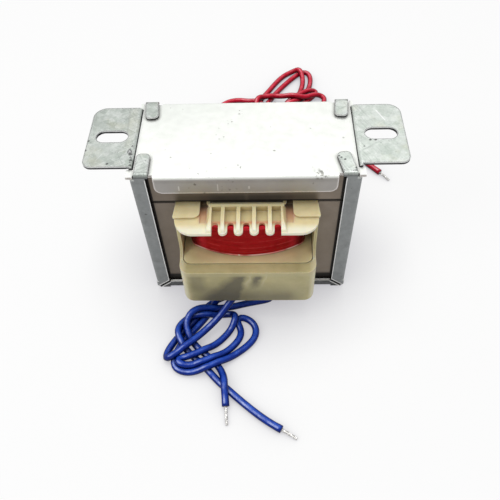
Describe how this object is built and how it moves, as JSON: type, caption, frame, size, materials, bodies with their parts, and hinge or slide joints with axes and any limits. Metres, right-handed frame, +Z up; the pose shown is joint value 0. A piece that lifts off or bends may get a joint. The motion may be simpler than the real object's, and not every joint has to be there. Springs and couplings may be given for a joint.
{
  "type": "laminated chassis transformer",
  "caption": "Laminated mains transformer on a two-chamber bobbin, held in a folded channel bracket with slotted feet, with coiled flying leads.",
  "frame": {"origin": "on the floor, under the middle of the bracket's bridge", "axes": "+Z up, from the bridge to the feet; +X to the right foot; +Y to the back, where the upper winding's leads leave"},
  "size_m": [0.106, 0.1842, 0.0578],
  "materials": {
    "zinc_bracket": "galvanised, mottled",
    "zinc_plate": "zinc plated, satin",
    "core_e": "varnished silicon steel, semi-gloss",
    "core_i": "varnished silicon steel, semi-gloss",
    "nylon_bobbin": "moulded, translucent, satin",
    "nylon_shroud": "moulded, translucent, satin",
    "winding_copper": "enamelled wire",
    "red_tape": "glossy tape",
    "inner_tape": "glossy tape",
    "blue_pvc": "glossy insulation",
    "red_pvc": "glossy insulation",
    "tinned_wire": "tinned"
  },
  "bodies": {
    "root": {"bracket": "zinc_bracket", "clamp_plate": "zinc_plate", "e_laminations": "core_e", "i_laminations": "core_i", "bobbin": "nylon_bobbin", "shroud": "nylon_shroud", "primary_winding": "winding_copper", "primary_tape": "red_tape", "secondary_winding": "winding_copper", "secondary_tape": "inner_tape", "blue_lead_a": "blue_pvc", "blue_lead_b": "blue_pvc", "blue_hank": "blue_pvc", "blue_tail_a": "blue_pvc", "blue_tail_b": "blue_pvc", "blue_end_a": "tinned_wire", "blue_end_b": "tinned_wire", "red_lead_a": "red_pvc", "red_lead_b": "red_pvc", "red_hank": "red_pvc", "red_tail_a": "red_pvc", "red_tail_b": "red_pvc", "red_end_a": "tinned_wire", "red_end_b": "tinned_wire"}
  },
  "joints": []
}
